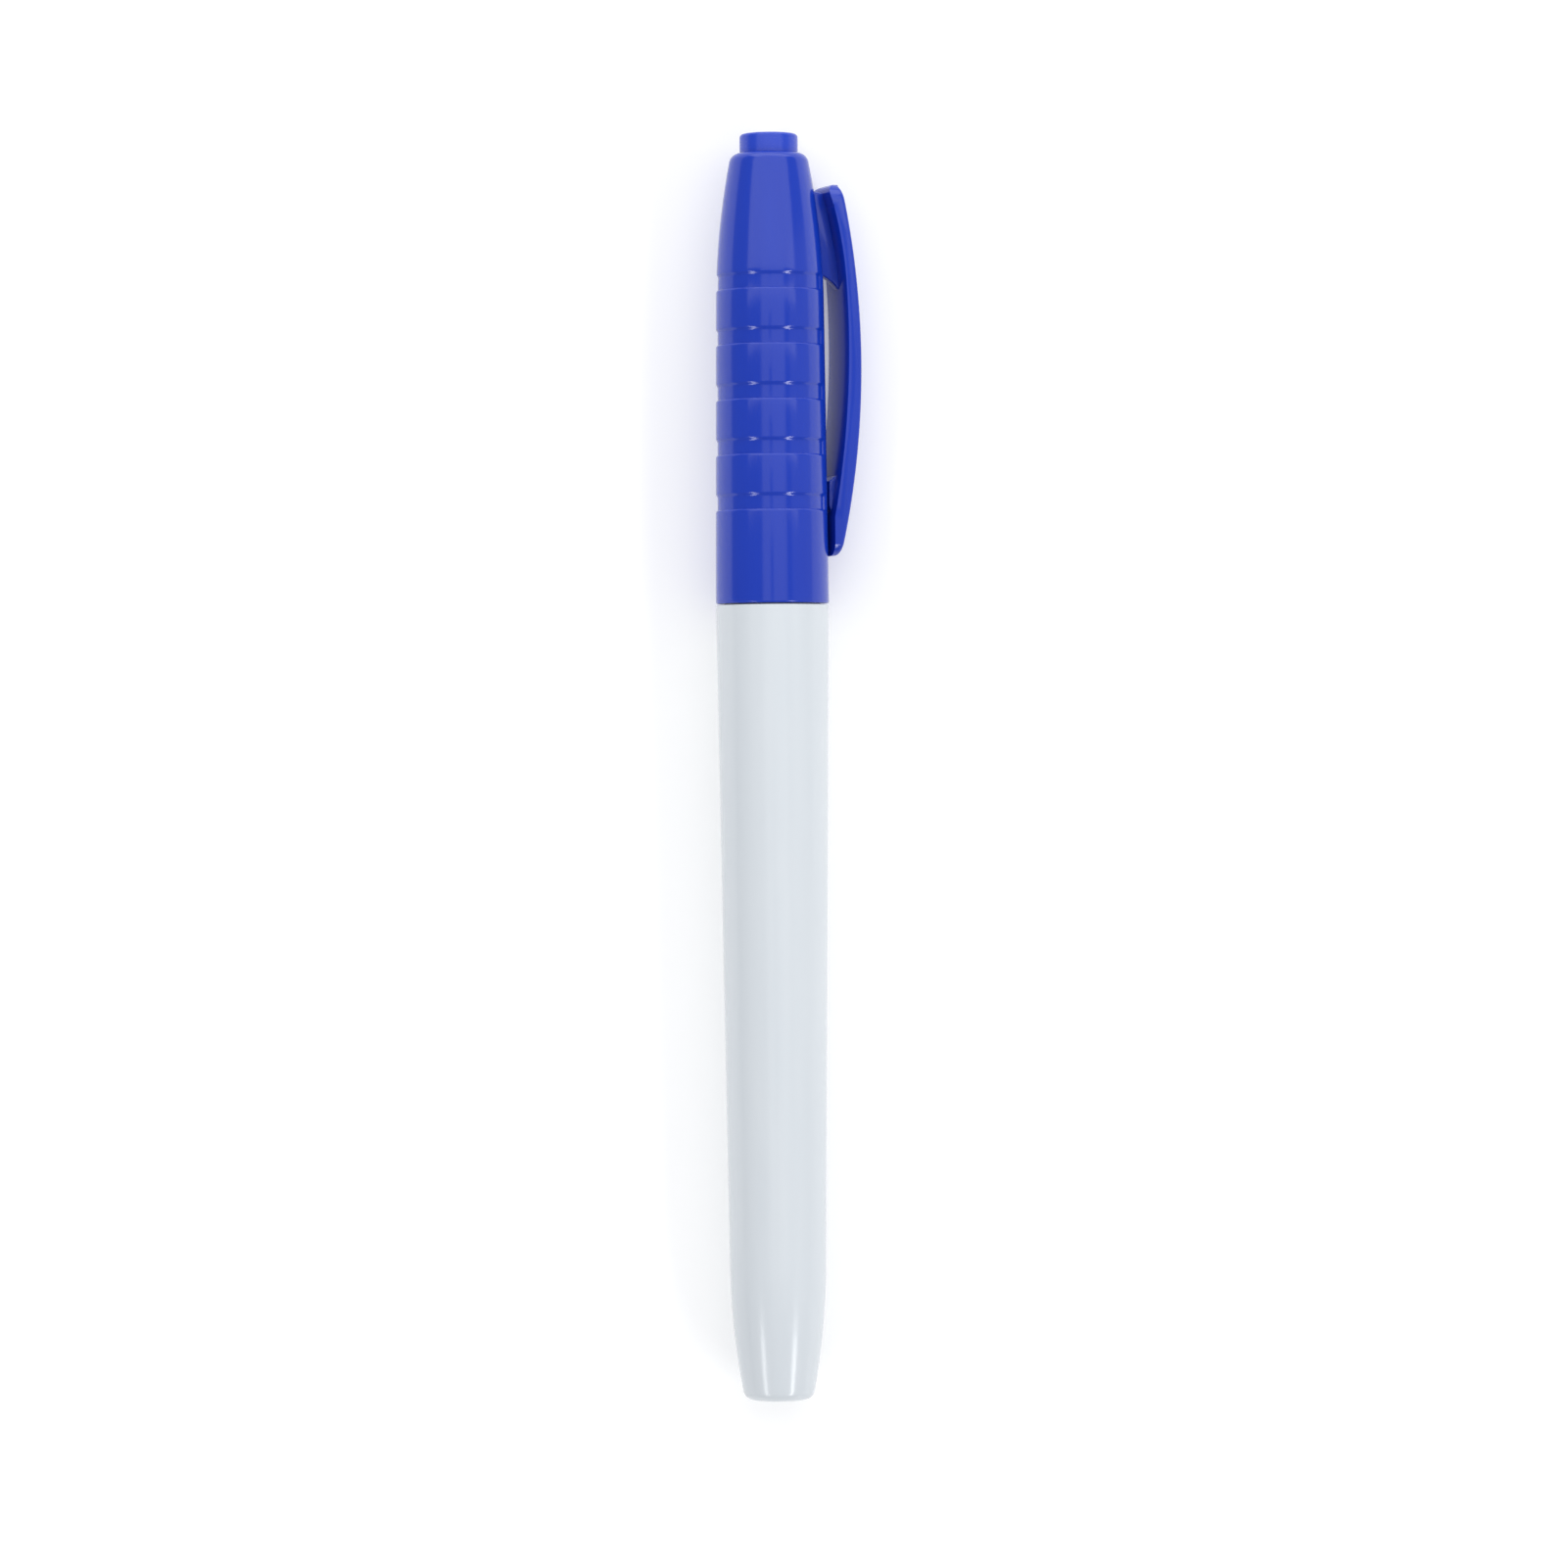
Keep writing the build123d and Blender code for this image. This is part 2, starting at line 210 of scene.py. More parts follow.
def cap_r(station):
    """Radius of the cap's outside: a straight draft, then a long curve to the shoulder."""
    straight = MOUTH_R - CAP_DRAFT * (station - MOUTH)
    if station <= CAP_BEND:
        return straight
    bend = Vector((CAP_BEND, cap_r(CAP_BEND)))
    centre = bend_centre(bend, -CAP_DRAFT, CAP_SHOULDER)
    return centre.y + sqrt((bend - centre).length_squared - (station - centre.x) ** 2)


def barrel_r(station):
    return BARREL_R - BARREL_DRAFT * (SHOULDER - station)


def clip_r(face, station):
    """Distance from the pen's axis to one of the clip's arched faces."""
    highest, height, bend_r = face
    return height - bend_r + sqrt(bend_r ** 2 - (station - highest) ** 2)


def sweep(centre, start, end, steps):
    """Points between start and end on the shorter arc about the centre."""
    first, last = Vector(start) - centre, Vector(end) - centre
    angle = atan2(first.y, first.x)
    turn = (atan2(last.y, last.x) - angle + pi) % (2 * pi) - pi
    angles = [angle + turn * k / steps for k in range(1, steps)]
    return [(centre.x + first.length * cos(a), centre.y + first.length * sin(a)) for a in angles]


def bend_centre(start, slope, end):
    """Centre of the arc that leaves start with that slope, reaches end and bends towards the axis."""
    chord, inward = Vector(end) - Vector(start), Vector((slope, -1.0)).normalized()
    return Vector(start) + inward * (chord.length_squared / (2 * inward.dot(chord)))


def arc_through(start, middle, end, steps):
    """Points between start and end on the arc that passes through middle."""
    a, b = Vector(start) - Vector(middle), Vector(end) - Vector(middle)
    turn = 2 * a.cross(b)
    centre = Vector(middle) + Vector((
        (b.y * a.length_squared - a.y * b.length_squared) / turn,
        (a.x * b.length_squared - b.x * a.length_squared) / turn,
    ))
    return sweep(centre, start, end, steps)


def rounded(*corners, steps=5):
    """The outline through (station, radius) corners, each rounded by its third number, if it has one."""
    outline = []
    for i, corner in enumerate(corners):
        place = Vector(corner[:2])
        if len(corner) == 2:
            outline.append(tuple(place))
            continue
        before = (Vector(corners[i - 1][:2]) - place).normalized()
        after = (Vector(corners[(i + 1) % len(corners)][:2]) - place).normalized()
        half, size = before.angle(after) / 2, corner[2]
        first, last = place + before * (size / tan(half)), place + after * (size / tan(half))
        centre = place + (before + after).normalized() * (size / sin(half))
        outline += [tuple(first), *sweep(centre, first, last, steps), tuple(last)]
    return outline


# ---------------------------------------------------------------- modelling

def start_piece(name, station, y, height):
    """A new mesh object with one vertex at that place, in edit mode."""
    bpy.ops.object.select_all(action="DESELECT")
    bpy.ops.mesh.primitive_plane_add(size=1)
    piece = bpy.context.object
    piece.name = piece.data.name = name
    bpy.ops.object.mode_set(mode="EDIT")
    bpy.ops.mesh.select_mode(type="VERT")
    bpy.ops.mesh.select_all(action="SELECT")
    bpy.ops.mesh.merge(type="CENTER")
    bpy.ops.transform.translate(value=(station, y, height))
    return piece


def draw(name, outline, y=0.0):
    """A new mesh object with the outline's edges, drawn by extruding one vertex along it."""
    piece = start_piece(name, outline[0][0], y, outline[0][1])
    closed = outline[0][1] > WELD
    for here, there in pairwise([*outline, outline[0]] if closed else outline):
        step = (there[0] - here[0], 0, there[1] - here[1])
        bpy.ops.mesh.extrude_region_move(TRANSFORM_OT_translate={"value": step})
    bpy.ops.mesh.select_all(action="SELECT")
    bpy.ops.mesh.remove_doubles(threshold=WELD)
    bpy.ops.mesh.select_all(action="SELECT")
    return piece


def close_up():
    """Welds the seam, turns all faces outwards and leaves edit mode."""
    bpy.ops.mesh.select_all(action="SELECT")
    bpy.ops.mesh.remove_doubles(threshold=WELD)
    bpy.ops.mesh.normals_make_consistent(inside=False)
    bpy.ops.object.mode_set(mode="OBJECT")


def turned(name, outline):
    """An outline of (station, radius) points, spun about the pen's axis into a closed shell."""
    piece = draw(name, outline)
    bpy.ops.mesh.spin(steps=TURN_STEPS, angle=2 * pi, center=(0, 0, 0), axis=(1, 0, 0))
    close_up()
    return piece


def plate(name, outline, width):
    """A slab of a closed outline of (station, height) points, standing across the pen's axis."""
    piece = draw(name, outline, -width / 2)
    bpy.ops.mesh.edge_face_add()
    bpy.ops.mesh.extrude_region_move(TRANSFORM_OT_translate={"value": (0, width, 0)})
    close_up()
    return piece


def pick(piece, wanted, kind="VERT"):
    """Enters edit mode with only those vertices or edges selected that wanted says yes to."""
    bpy.ops.object.mode_set(mode="EDIT")
    bpy.ops.mesh.select_mode(type=kind)
    bpy.ops.mesh.select_all(action="DESELECT")
    bpy.ops.object.mode_set(mode="OBJECT")
    points = piece.data.vertices
    if kind == "VERT":
        for point in points:
            point.select = wanted(point.co)
    else:
        for edge in piece.data.edges:
            edge.select = wanted(*(points[i].co for i in edge.vertices))
    bpy.ops.object.mode_set(mode="EDIT")


def round_edges(piece, wanted, size, segments):
    """Bevels the wanted edges."""
    pick(piece, wanted, "EDGE")
    bpy.ops.mesh.bevel(offset=size, offset_type="OFFSET", segments=segments, affect="EDGES")
    bpy.ops.object.mode_set(mode="OBJECT")


def combine(piece, other, how):
    """Unites, or cuts down, a closed mesh with another one, which is then gone."""
    modifier = piece.modifiers.new("combine", "BOOLEAN")
    modifier.object, modifier.operation, modifier.solver = other, how, "EXACT"
    bpy.context.view_layer.objects.active = piece
    bpy.ops.object.modifier_apply(modifier=modifier.name)
    bpy.data.objects.remove(other)


def lay_down(piece):
    """Takes a finished piece from the drawing to where it lies, in metres, and smooths its shading."""
    bpy.ops.object.select_all(action="DESELECT")
    piece.select_set(True)
    bpy.context.view_layer.objects.active = piece
    piece.rotation_euler = (pi / 2 + TILT, 0, 0)
    piece.scale = (MM, MM, MM)
    piece.location = (TAIL_X, AXIS_Y, AXIS_Z)
    bpy.ops.object.transform_apply(location=True, rotation=True, scale=True)
    bpy.ops.object.shade_smooth_by_angle(angle=radians(SMOOTH))
    return piece


# ---------------------------------------------------------------- pieces on the pen's body

def make_barrel():
    """The white barrel, with a dimpled gate mark on its tail and a socket for the front section."""
    bend = (TAIL_BEND, barrel_r(TAIL_BEND))
    return turned("barrel_shell", rounded(
        *TAIL_GATE, TAIL_FACE, *arc_through(TAIL_FACE, TAIL_CURL, TAIL_EDGE, 10), TAIL_EDGE,
        *sweep(bend_centre(bend, BARREL_DRAFT, TAIL_EDGE), TAIL_EDGE, bend, 28), bend,
        (SHOULDER, BARREL_R, 0.12), (SHOULDER, SOCKET_R, 0.1), (SHOULDER - SOCKET_DEPTH, SOCKET_R),
        *BARREL_INSIDE,
    ))


def make_front_section():
    """The white front section: a plug, the neck with its click ring, a cone, and a nose round the nib."""
    (cone_start, cone_r), (cone_end, nose_base) = CONE
    plug_end, hole_r = SHOULDER - SOCKET_DEPTH + PLUG_GAP, NIB_R + NIB_FIT
    neck_start = SHOULDER + SECTION_GAP
    return turned("front_section_shell", rounded(
        (plug_end, SECTION_BORE_R), (plug_end, PLUG_R - PLUG_LEAD, 0.05),
        (plug_end + PLUG_LEAD_LENGTH, PLUG_R, 0.2), (neck_start, PLUG_R), (neck_start, NECK_R, 0.08),
        (BEAD - BEAD_HALF, NECK_R, 0.3), (BEAD, NECK_R + BEAD_HEIGHT, 0.3), (BEAD + BEAD_HALF, NECK_R, 0.3),
        (NECK_END, NECK_R, 0.25), (NECK_END + NECK_STEP, NECK_R - NECK_STEP, 0.08),
        (cone_start, cone_r, 0.15), (cone_end, nose_base, 0.35), (cone_end + 0.6, NOSE_R, 0.3),
        (NOSE_END - NOSE_TIP, NOSE_R - 0.25, 0.3), (NOSE_END, NIB_R + 0.45, 0.12), (NOSE_END, hole_r, 0.06),
        (SECTION_BORE_END, hole_r), (SECTION_BORE_END, SECTION_BORE_R),
    ))


def make_nib():
    """The fibre nib, a straight rod with a bullet tip."""
    shoulder, blunt, point = (NIB_TIP - NIB_BULLET, NIB_R), (NIB_TIP - 0.12, 0.3), (NIB_TIP, 0)
    return turned("nib_rod", rounded(
        (NIB_BACK, 0), (NIB_BACK, NIB_R, 0.05), shoulder,
        *arc_through(shoulder, (NIB_TIP - 1.2, 0.75), blunt, 12), blunt,
        *arc_through(blunt, (NIB_TIP - 0.03, 0.15), point, 4), point,
    ))


# ---------------------------------------------------------------- the cap

def make_inner_cap():
    """The inner cap, whose end shows as the nub, with a dimpled gate mark."""
    seat_end = CAP_TOP - END_WALL - FIT
    return turned("inner_cap_shell", rounded(
        (INNER_MOUTH, TUBE_LIP_R, 0.06), (INNER_MOUTH, TUBE_R, 0.1), (TUBE_END, TUBE_R - 0.1, 1.0),
        (SEAT_START, SEAT_R, 1.0), (seat_end, SEAT_R, 0.05), (seat_end, NUB_R),
        (NUB_TOP, NUB_R, NUB_ROUND), *[(NUB_TOP - depth, *others) for depth, *others in NUB_GATE],
    ) + rounded(
        (NUB_TOP - NUB_WALL, 0), (NUB_TOP - NUB_WALL, 2.3, 0.2), *TUBE_BORE,
    ))


def groove_rings():
    """The rings that shape a groove's step and flank: their distance from its start, and the share of the
    groove's depth that each is sunk."""
    steepest = acos(1 - GROOVE_DEPTH / STEP_ROUND)
    slopes = [steepest * k / 6 for k in range(7)]
    step = [(STEP_ROUND * (sin(a) - sin(steepest)), STEP_ROUND / GROOVE_DEPTH * (1 - cos(a)))
            for a in slopes]
    flank = [(GROOVE_FLOOR + GROOVE_FLANK * k / 8, (1 + cos(pi * k / 8)) / 2) for k in range(9)]
    return [*step, *flank]


def make_outer_cap():
    """The outer cap: a tapered shell whose grip grooves stop at a smooth pad under the clip."""
    starts = [GROOVE_START + i * GROOVE_PITCH for i in range(GROOVES)]
    stations = [start + distance for start in starts for distance, share in groove_rings()]
    rest = CAP_SHOULDER[0] - stations[-1]
    stations += [stations[-1] + rest * k / CURVE_STEPS for k in range(1, CURVE_STEPS)]
    hole_r, seat_r, end_seat = NUB_R + FIT, SEAT_R + FIT, CAP_TOP - END_WALL
    cap = turned("cap_shell", rounded(
        (MOUTH, CAP_BORE_R + 0.15, 0.04), (MOUTH, MOUTH_R, 0.2), *[(s, cap_r(s)) for s in stations],
        CAP_SHOULDER, *arc_through(CAP_SHOULDER, CAP_CURL, CAP_RIM, 10), CAP_RIM,
        (CAP_TOP, hole_r, 0.05), (end_seat, hole_r), (end_seat, seat_r), (BORE_SEAT, seat_r), *BORE_THROAT,
        (NECK_END + 1.6, CAP_BORE_R - BORE_STEP, 0.2), (NECK_END + 1.1, CAP_BORE_R, 0.2),
        (BEAD + CLICK_HALF, CAP_BORE_R), (BEAD, CAP_BORE_R + BEAD_GROOVE, 0.3),
        (BEAD - CLICK_HALF, CAP_BORE_R), (MOUTH + 0.5, CAP_BORE_R, 0.2),
    ))
    for distance, share in groove_rings():
        rings = [start + distance for start in starts]
        for part, low, high in ((0.5, PAD_ANGLE, PAD_ANGLE + RUN_OUT), (1.0, PAD_ANGLE + RUN_OUT, pi + 1)):
            sink = 1 - part * share * GROOVE_DEPTH / cap_r(rings[GROOVES // 2])
            pick(cap, lambda p: low <= abs(atan2(p.y, p.z)) < high and hypot(p.y, p.z) > GROOVE_REACH
                 and any(abs(p.x - ring) < WELD for ring in rings))
            bpy.ops.transform.resize(value=(1, sink, sink), center_override=(0, 0, 0))
    bpy.ops.object.mode_set(mode="OBJECT")
    return cap


def clip_band():
    """The clip's arched band, with rounded corners and outer edges."""
    highest, height, bend_r = INNER_FACE
    touch = highest - sqrt(bend_r ** 2 - (TIP_INSIDE_R - height + bend_r) ** 2)
    first, last = CLIP_TIP + TIP_CORNER + 0.5, CLIP_TOP - TOP_CORNER - 0.5
    along = [first + (last - first) * k / CURVE_STEPS for k in range(CURVE_STEPS + 1)]
    bend, top_inside = (INNER_BEND, clip_r(INNER_FACE, INNER_BEND)), (CLIP_TOP, TOP_INSIDE_R)
    slope = (highest - INNER_BEND) / (bend[1] - height + bend_r)
    band = plate("clip", rounded(
        (CLIP_TIP, TIP_INSIDE_R), (CLIP_TIP, clip_r(OUTER_FACE, CLIP_TIP)),
        *[(s, clip_r(OUTER_FACE, s)) for s in along], (CLIP_TOP, clip_r(OUTER_FACE, CLIP_TOP)),
        (*top_inside, TOP_INNER_ROUND),
        *sweep(bend_centre(bend, slope, top_inside), top_inside, bend, 24)[3:], bend,
        *[(s, clip_r(INNER_FACE, s)) for s in reversed(along) if touch + 0.2 < s < INNER_BEND - 0.3],
        (touch, TIP_INSIDE_R),
    ), CLIP_WIDTH)
    half = CLIP_WIDTH / 2
    plan = plate("plan", rounded(
        (CLIP_TIP, -half, TIP_CORNER), (CLIP_TIP, half, TIP_CORNER),
        (CLIP_TOP, half, TOP_CORNER), (CLIP_TOP, -half, TOP_CORNER), steps=12), 4 * height)
    plan.rotation_euler.x = pi / 2
    combine(band, plan, "INTERSECT")
    round_edges(band, lambda a, b: all(abs(p.z - clip_r(OUTER_FACE, p.x)) < 0.01 for p in (a, b)) and (
        abs(a.y) > half - TIP_CORNER and abs(b.y) > half - TIP_CORNER or abs(a.x - b.x) < WELD
        and min(a.x - CLIP_TIP, CLIP_TOP - a.x) < WELD), CLIP_EDGE, 6)
    low, high = TOOTH[0], CLIP_TOP - TOP_CORNER - 0.6
    round_edges(band, lambda a, b: all(
        abs(abs(p.y) - half) < WELD and low < p.x < high and p.z < clip_r(OUTER_FACE, p.x) - 2 * CLIP_EDGE
        for p in (a, b)), INNER_EDGE, 3)
    return band


def round_sharp(piece, size):
    """Bevels the edges that are still sharp on the piece just made."""
    pick(piece, lambda a, b: False, "EDGE")
    bpy.ops.mesh.edges_select_sharp(sharpness=radians(SHARP))
    bpy.ops.mesh.bevel(offset=size, offset_type="OFFSET", segments=3, affect="EDGES")
    bpy.ops.object.mode_set(mode="OBJECT")
    return piece


def clip_web():
    """The thin upright that joins the band's upper end to the cap."""
    foot, end = (WEB_FOOT, cap_r(WEB_FOOT)), (WEB_END, clip_r(INNER_FACE, WEB_END))
    return plate("web", rounded(
        (WEB_TOP + 0.1, 4.25), (WEB_TOP, 5.0), (WEB_TOP - 0.2, TOP_INSIDE_R + ROOT),
        (WEB_END, end[1] + ROOT), end,
        *arc_through(end, WEB_BEND, foot, 12), foot, (WEB_FOOT + 0.3, cap_r(WEB_FOOT) - 0.5),
    ), WEB)


def clip_tooth():
    """The low block near the tip that grips the cloth."""
    start, end = TOOTH
    start_r, end_r = clip_r(INNER_FACE, start), clip_r(INNER_FACE, end)
    return plate("tooth", rounded(
        (end + 0.1, end_r + ROOT), (end, end_r), (end - 0.6, TOOTH_R + 0.05, 0.1),
        (end - 1.1, TOOTH_R, 0.1),
        (start + 0.5, TOOTH_R, 0.1), (start, start_r), (start - 0.1, start_r + ROOT),
    ), TOOTH_WIDTH)


def make_clip():
    """The clip in one piece: band, web and tooth."""
    band = clip_band()
    web = round_sharp(clip_web(), WEB_EDGE)
    tooth = round_sharp(clip_tooth(), INNER_EDGE)
    combine(band, web, "UNION")
    combine(band, tooth, "UNION")
    return band


# ---------------------------------------------------------------- materials

def colour(code):
    """A hex sRGB colour as linear red, green, blue and alpha."""
    shares = [int(code[i:i + 2], 16) / 255 for i in (0, 2, 4)]
    return tuple(c / 12.92 if c <= 0.04045 else ((c + 0.055) / 1.055) ** 2.4 for c in shares) + (1.0,)


def per_size(size):
    """Noise scale, on coordinates in metres, for a pattern of that size in millimetres."""
    return 1 / (size * MM)


def add(tree, kind, inputs, **settings):
    """Adds a node with its settings, and gives each named or numbered input a value or a link."""
    made = tree.nodes.new(kind)
    for name, value in settings.items():
        setattr(made, name, value)
    for name, value in inputs.items():
        if isinstance(value, bpy.types.NodeSocket):
            tree.links.new(value, made.inputs[name])
        else:
            made.inputs[name].default_value = value
    return made


def new_material(name):
    """A node material with only its output, and its tree."""
    material = bpy.data.materials.new(name)
    material.use_nodes = True
    material.node_tree.nodes.clear()
    return material, material.node_tree


def moulded_polypropylene(name, deep, pale, roughness, variation):
    """Injection-moulded polypropylene. Its skin copies the polished mould, so it is glossy with a very
    faint unevenness: long flow marks along the pen, a slight sink ripple, and a fine grain in the gloss."""
    material, tree = new_material(name)
    place = add(tree, "ShaderNodeTexCoord", {}).outputs["Object"]
    along = add(tree, "ShaderNodeMapping", {"Vector": place, "Scale": (0.15, 1, 1)}).outputs[0]
    flow = add(tree, "ShaderNodeTexNoise", {"Vector": along, "Scale": per_size(FLOW_MARK), "Detail": 3.0})
    ripple = add(tree, "ShaderNodeTexNoise", {
        "Vector": along, "Scale": per_size(SINK_RIPPLE), "Detail": 1.0})
    grain = add(tree, "ShaderNodeTexNoise", {"Vector": place, "Scale": per_size(SKIN_GRAIN), "Detail": 2.0})
    tint = add(tree, "ShaderNodeMix", {"Factor": flow.outputs["Fac"], 6: colour(deep), 7: colour(pale)},
               data_type="RGBA")
    gloss = add(tree, "ShaderNodeMapRange", {
        "Value": grain.outputs["Fac"], "From Min": 0.3, "From Max": 0.7,
        "To Min": roughness - variation, "To Max": roughness + variation})
    wave = add(tree, "ShaderNodeBump", {
        "Height": ripple.outputs["Fac"], "Strength": 1.0, "Distance": RIPPLE_HEIGHT * MM})
    skin = add(tree, "ShaderNodeBump", {
        "Height": grain.outputs["Fac"], "Strength": 1.0, "Distance": GRAIN_HEIGHT * MM,
        "Normal": wave.outputs[0]})
    shader = add(tree, "ShaderNodeBsdfPrincipled", {
        "Base Color": tint.outputs[2], "Roughness": gloss.outputs[0], "Normal": skin.outputs[0],
        "IOR": POLYPROPYLENE_IOR})
    add(tree, "ShaderNodeOutputMaterial", {"Surface": shader.outputs[0]})
    return material


def bonded_fibre(name, deep, pale, fibre):
    """Bonded polyester fibre, soaked with ink: matt, with fine streaks along the pen where the fibres lie.
    The real fibres are about 0.02 mm thick, too fine to show, so they are drawn coarser."""
    material, tree = new_material(name)
    place = add(tree, "ShaderNodeTexCoord", {}).outputs["Object"]
    along = add(tree, "ShaderNodeMapping", {"Vector": place, "Scale": (0.06, 1, 1)}).outputs[0]
    streak = add(tree, "ShaderNodeTexNoise", {"Vector": along, "Scale": per_size(fibre), "Detail": 2.0})
    tint = add(tree, "ShaderNodeMix", {"Factor": streak.outputs["Fac"], 6: colour(deep), 7: colour(pale)},
               data_type="RGBA")
    relief = add(tree, "ShaderNodeBump", {
        "Height": streak.outputs["Fac"], "Strength": 1.0, "Distance": fibre * MM / 4})
    shader = add(tree, "ShaderNodeBsdfPrincipled", {
        "Base Color": tint.outputs[2], "Normal": relief.outputs[0], "Roughness": 0.75, "Sheen Weight": 0.3})
    add(tree, "ShaderNodeOutputMaterial", {"Surface": shader.outputs[0]})
    return material


def polyethylene_film():
    """The reservoir's wrapper: thin milky film, glossy, with small creases across the pen."""
    material, tree = new_material("polyethylene_film")
    place = add(tree, "ShaderNodeTexCoord", {}).outputs["Object"]
    across = add(tree, "ShaderNodeMapping", {"Vector": place, "Scale": (1, 0.25, 0.25)}).outputs[0]
    crease = add(tree, "ShaderNodeTexNoise", {
        "Vector": across, "Scale": per_size(FILM_CREASE), "Detail": 2.0})
    tint = add(tree, "ShaderNodeMix", {
        "Factor": crease.outputs["Fac"], 6: colour("C9D3DC"), 7: colour("E6EBEF")}, data_type="RGBA")
    relief = add(tree, "ShaderNodeBump", {
        "Height": crease.outputs["Fac"], "Strength": 1.0, "Distance": CREASE_HEIGHT * MM})
    shader = add(tree, "ShaderNodeBsdfPrincipled", {
        "Base Color": tint.outputs[2], "Normal": relief.outputs[0], "Roughness": 0.2,
        "IOR": POLYETHYLENE_IOR, "Transmission Weight": 0.3})
    add(tree, "ShaderNodeOutputMaterial", {"Surface": shader.outputs[0]})
    return material


def light_table():
    """Matt white acrylic, softly lit from below as well, so that shadows on it are faint."""
    material, tree = new_material("white_acrylic")
    place = add(tree, "ShaderNodeTexCoord", {}).outputs["Object"]
    mottle = add(tree, "ShaderNodeTexNoise", {
        "Vector": place, "Scale": per_size(TABLE_MOTTLE), "Detail": 2.0})
    tint = add(tree, "ShaderNodeMix", {
        "Factor": mottle.outputs["Fac"], 6: colour("E0E0E0"), 7: colour("E3E3E3")}, data_type="RGBA")
    shader = add(tree, "ShaderNodeBsdfPrincipled", {
        "Base Color": tint.outputs[2], "Roughness": 0.9, "Specular IOR Level": 0.0,
        "Emission Color": (1, 1, 1, 1), "Emission Strength": TABLE_GLOW})
    add(tree, "ShaderNodeOutputMaterial", {"Surface": shader.outputs[0]})
    return material


cap_blue = moulded_polypropylene("glossy_polypropylene_blue", "1234AA", "163AB2", 0.15, 0.03)
nub_blue = moulded_polypropylene("glossy_polypropylene_bright_blue", "1A3CB6", "1F42C0", 0.24, 0.04)
barrel_white = moulded_polypropylene("glossy_polypropylene_white", "CFD5DA", "D5DADE", 0.2, 0.04)
section_white = moulded_polypropylene("satin_polypropylene_white", "D4D9DF", "DDE2E7", 0.25, 0.04)
nib_fibre = bonded_fibre("polyester_fibre_inked", "0B1A5C", "1B3396", NIB_FIBRE)
core_fibre = bonded_fibre("polyester_fibre_core", "16247A", "3249B4", CORE_FIBRE)

# ---------------------------------------------------------------- assembly

PIECES = (
    (make_barrel, "pen", ("barrel",), "barrel_white", barrel_white),
    (make_front_section, "pen", ("front_section",), "section_white", section_white),
    (make_nib, "pen", ("nib",), "nib_fibre", nib_fibre),
    (make_inner_cap, "inner_cap", ("inner_cap",), "inner_cap_blue", nub_blue),
    (make_outer_cap, "cap", ("outer_cap",), "cap_blue", cap_blue),
    (make_clip, None, ("clip_root", "clip_arm"), "cap_blue", cap_blue),
)
for make, body, nodes, slot, material in PIECES:
    piece = lay_down(make())
    piece.data.materials.clear()
    piece.data.materials.append(material)
    piece.data.polygons.foreach_set("material_index", [0] * len(piece.data.polygons))
    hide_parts(*nodes)
    if body:
        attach(piece, body)
    else:
        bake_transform(piece)

for node, material in (("ink_reservoir", core_fibre), ("reservoir_film", polyethylene_film())):
    mesh = frame["nodes"][node].data
    mesh.materials.clear()
    mesh.materials.append(material)

# ---------------------------------------------------------------- table, lights and camera

bpy.ops.object.select_all(action="DESELECT")
bpy.ops.mesh.primitive_plane_add(size=6.0, location=(0, 0, 0))
table = bpy.context.object
table.name = "table"
table.data.materials.append(light_table())


def soft_box(name, radiance, centre, width, length, target, upright="X"):
    """A flat rectangular light of that radiance, facing the target. Its length lies on its X, its width
    on its Y, and of these two the upright one stands as steeply as it can."""
    bpy.ops.object.light_add(type="AREA", location=centre)
    light = bpy.context.object
    light.name = name
    light.rotation_euler = (Vector(centre) - Vector(target)).to_track_quat("Z", upright).to_euler()
    light.data.shape = "RECTANGLE"
    light.data.size, light.data.size_y = length, width
    light.data.energy = radiance * pi * width * length


def round_the_pen(angle, distance):
    """Y and Z of a place that far from the pen's axis, turned from straight up towards the clip's side."""
    return -distance * sin(radians(angle)), distance * cos(radians(angle))


HANG = 0.8             # height of the overhead lights

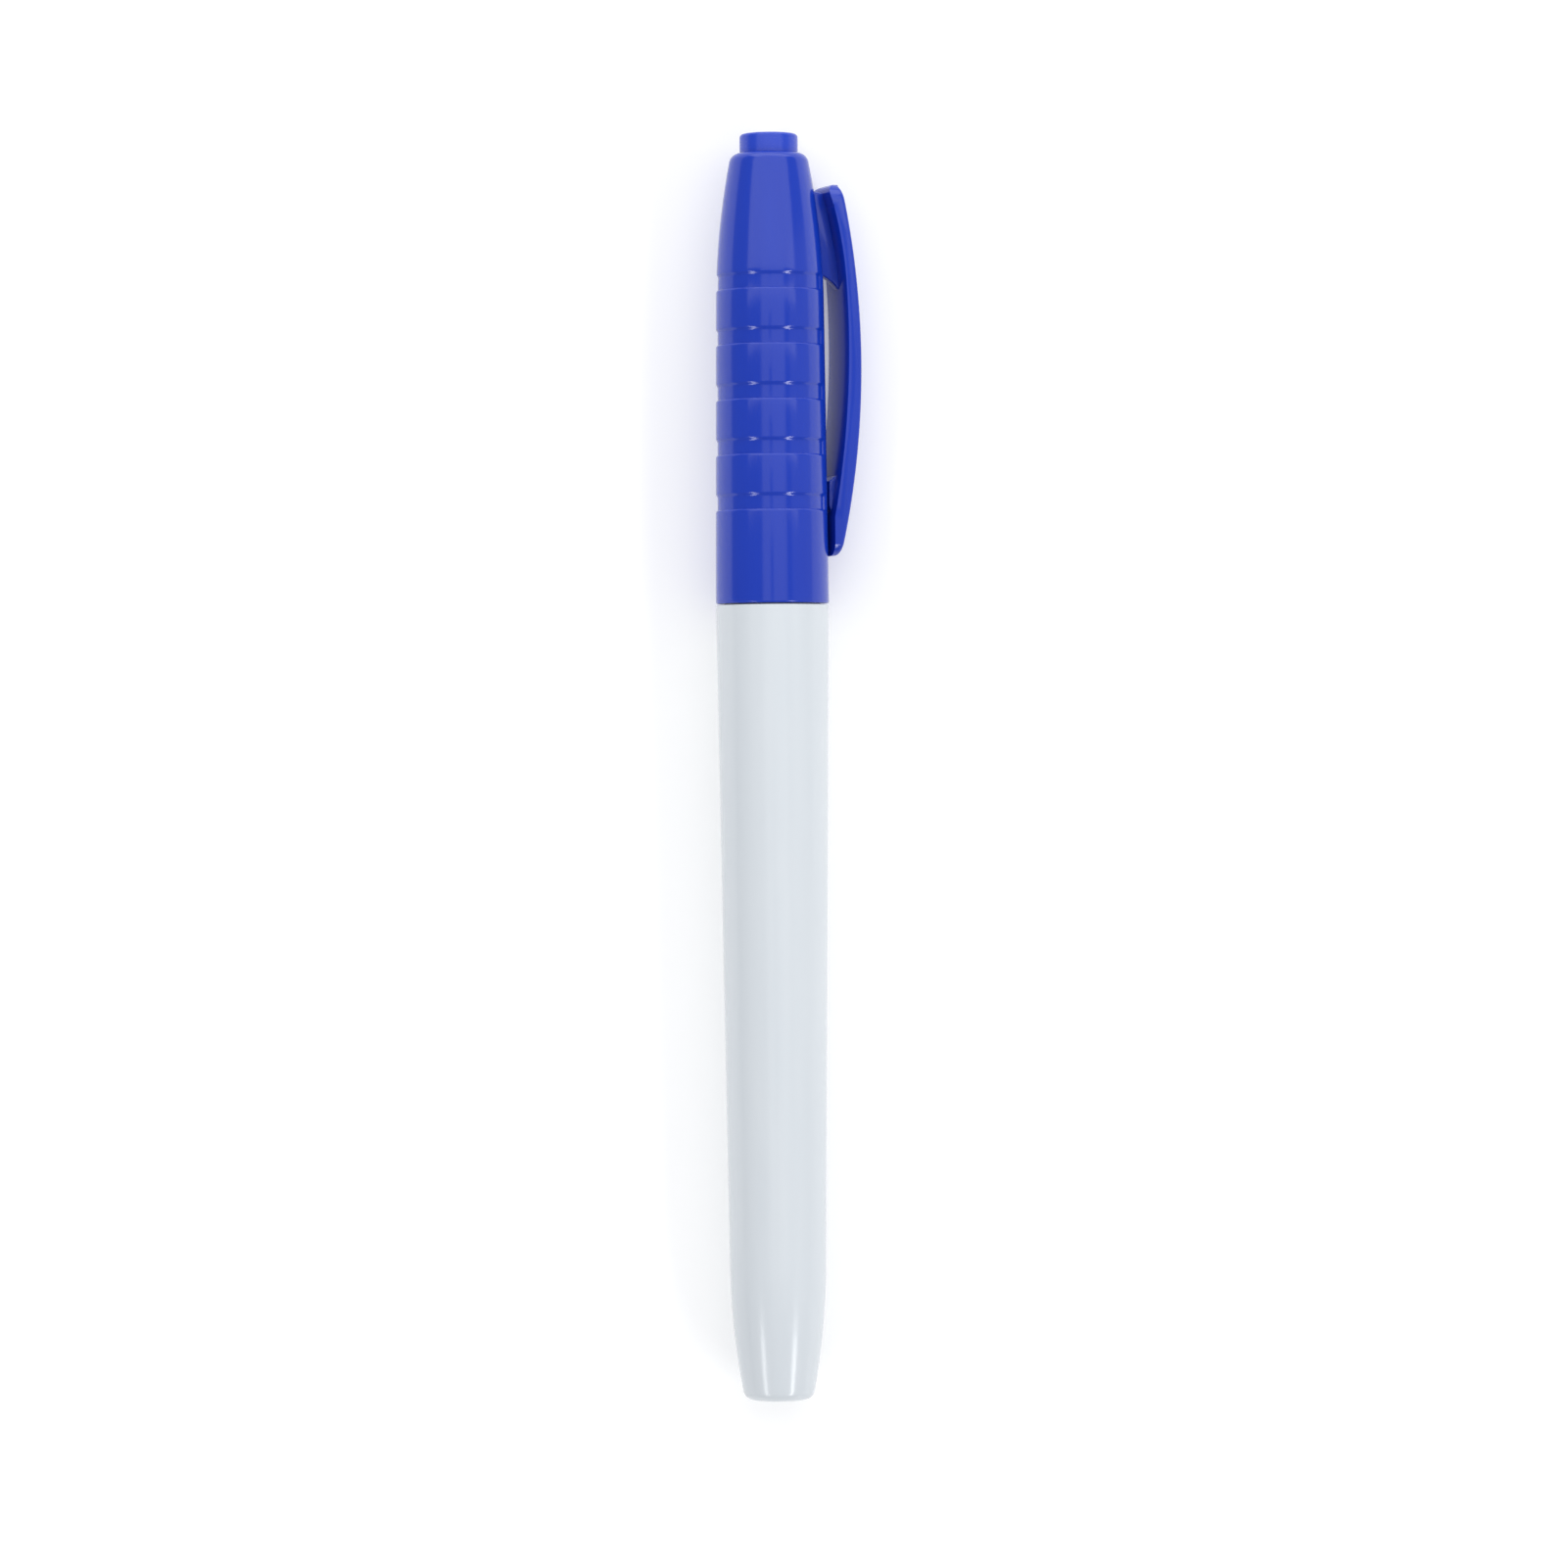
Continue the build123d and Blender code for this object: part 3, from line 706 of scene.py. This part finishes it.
# Boxes that hang over the table and face straight down: name, radiance, X, Y, width, length
OVERHEAD = (
    ("overhead_left", 0.7, -0.03, 0.155, 0.24, 0.24),
    ("overhead_right", 0.7, -0.03, -0.255, 0.44, 0.24),
    ("overhead_front", 0.75, 0.14, -0.10, 0.75, 0.10),
    ("nub_end_panel", 1.15, 0.72, -0.14, 2.1, 1.06),
)
for name, radiance, x, y, width, length in OVERHEAD:
    soft_box(name, radiance, (x, y, HANG), width, length, (x, y, 0.0))
soft_box("nub_end_wall", 2.0, (1.3, -0.14, 0.4), 2.1, 0.8, (0.0, -0.14, 0.4))
soft_box("clip_side_wall", 0.3, (0.0, -1.3, 0.45), 0.8, 1.6, (0.0, 0.0, 0.1))

# Long strips beyond the tail, along the pen, which draw the streaks on the tail and on the grooves
STRIP_X, STRIP_WIDTH, STRIP_LENGTH = -0.76, 0.19, 0.86
for name, angle, radiance in (("left_strip", -43.5, 7.0), ("right_strip", 44.5, 9.5)):
    place = (STRIP_X, *round_the_pen(angle, 1.0))
    soft_box(name, radiance, place, STRIP_WIDTH, STRIP_LENGTH, (STRIP_X, 0.0, 0.0), "Y")

world = bpy.data.worlds.new("studio")
bpy.context.scene.world = world
world.use_nodes = True
backdrop = world.node_tree.nodes["Background"].inputs
backdrop["Color"].default_value = colour("F8FAFF")
backdrop["Strength"].default_value = 0.38

CAMERA_HEIGHT = 0.695  # above the pen's axis
CAMERA_TURN = 0.49     # degrees
CAMERA_SHIFT = (-1.9, 0.8)   # millimetres from the pen's middle
LENS, SENSOR = 146.25, 36.0
middle = (CAD_BOX[0] + CAD_BOX[1]) / 2
bpy.ops.object.camera_add(
    location=(middle.x + CAMERA_SHIFT[0] * MM, middle.y + CAMERA_SHIFT[1] * MM, AXIS_Z + CAMERA_HEIGHT),
    rotation=(0, 0, radians(-90 - CAMERA_TURN)))
camera = bpy.context.object
camera.data.lens, camera.data.sensor_width = LENS, SENSOR
bpy.context.scene.camera = camera
bpy.context.scene.view_settings.view_transform = "Standard"

bpy.context.view_layer.update()
